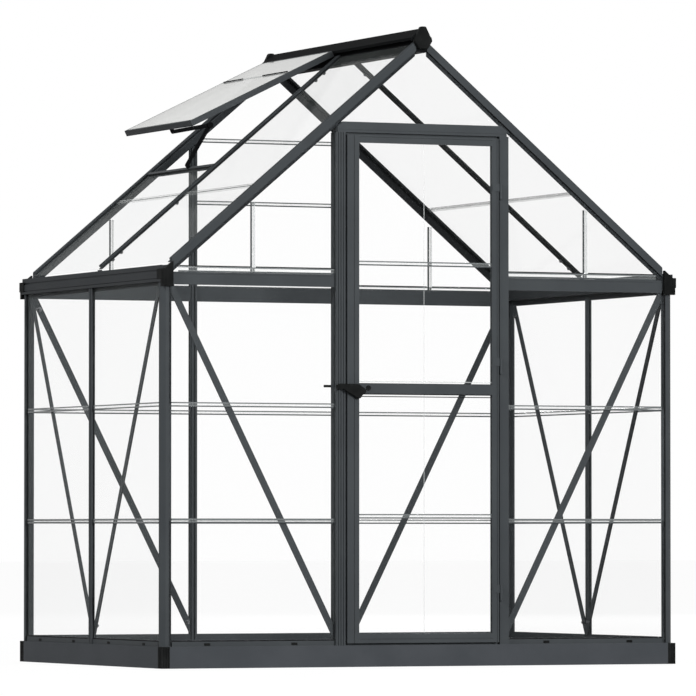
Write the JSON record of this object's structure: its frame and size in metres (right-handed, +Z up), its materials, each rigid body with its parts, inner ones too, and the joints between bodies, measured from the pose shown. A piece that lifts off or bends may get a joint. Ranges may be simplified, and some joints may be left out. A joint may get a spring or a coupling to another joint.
{
  "type": "greenhouse",
  "caption": "Small free-standing gable greenhouse with a slim dark metal frame, clear panes, a hinged front door, eave gutters and a propped-open roof vent",
  "frame": {"origin": "on the ground under the middle of the base", "axes": "+Z up, +X to the right seen from the door side, +Y from the door to the back"},
  "size_m": [1.858, 1.284, 2.096],
  "materials": {
    "frame": "dark grey powder coat, satin",
    "base_steel": "dark grey coated steel, satin",
    "black_plastic": "black moulded plastic",
    "panes": "clear thin sheet",
    "clear_strips": "clear moulded strip"
  },
  "bodies": {
    "house": {"corner_posts": "frame", "side_posts": "frame", "back_posts": "frame", "door_jambs": "frame", "door_header": "frame", "sill_front": "frame", "sill_back": "frame", "sills_sides": "frame", "eave_rail_front": "frame", "eave_rail_back": "frame", "gutter_left": "frame", "gutter_right": "frame", "rafters_gables": "frame", "rafters_middle": "frame", "ridge_beam": "frame", "braces_end_walls": "frame", "braces_side_walls": "frame", "vent_side_rails": "frame", "vent_cross_rails": "frame", "vent_sill": "frame", "vent_stay": "frame", "base_ends": "base_steel", "base_sides": "base_steel", "base_corners": "black_plastic", "gutter_end_caps": "black_plastic", "ridge_end_caps": "black_plastic", "latch_keeper": "black_plastic", "hinge_brackets": "frame", "panes_end_walls": "panes", "panes_side_walls": "panes", "panes_gables": "panes", "panes_roof": "panes", "vent_pane": "panes", "strips_end_walls": "clear_strips", "strips_side_walls": "clear_strips", "strips_gables": "clear_strips", "strips_roof": "clear_strips"},
    "door": {"door_stiles": "frame", "door_rails": "frame", "door_hinge_leaves": "frame", "door_panes": "panes", "door_strips": "clear_strips", "door_fittings": "black_plastic"},
    "handle": {"door_handle": "black_plastic"}
  },
  "joints": [
    {"name": "door_hinge", "type": "hinge", "parent": "house", "child": "door", "pos_m": [0.28, -0.636, 0.9], "axis": [0, 0, 1], "range_deg": [0, 110]},
    {"name": "handle_turn", "type": "hinge", "parent": "door", "child": "handle", "pos_m": [-0.222, -0.64, 0.898], "axis": [0, -1, 0], "range_deg": [0, 60]}
  ]
}
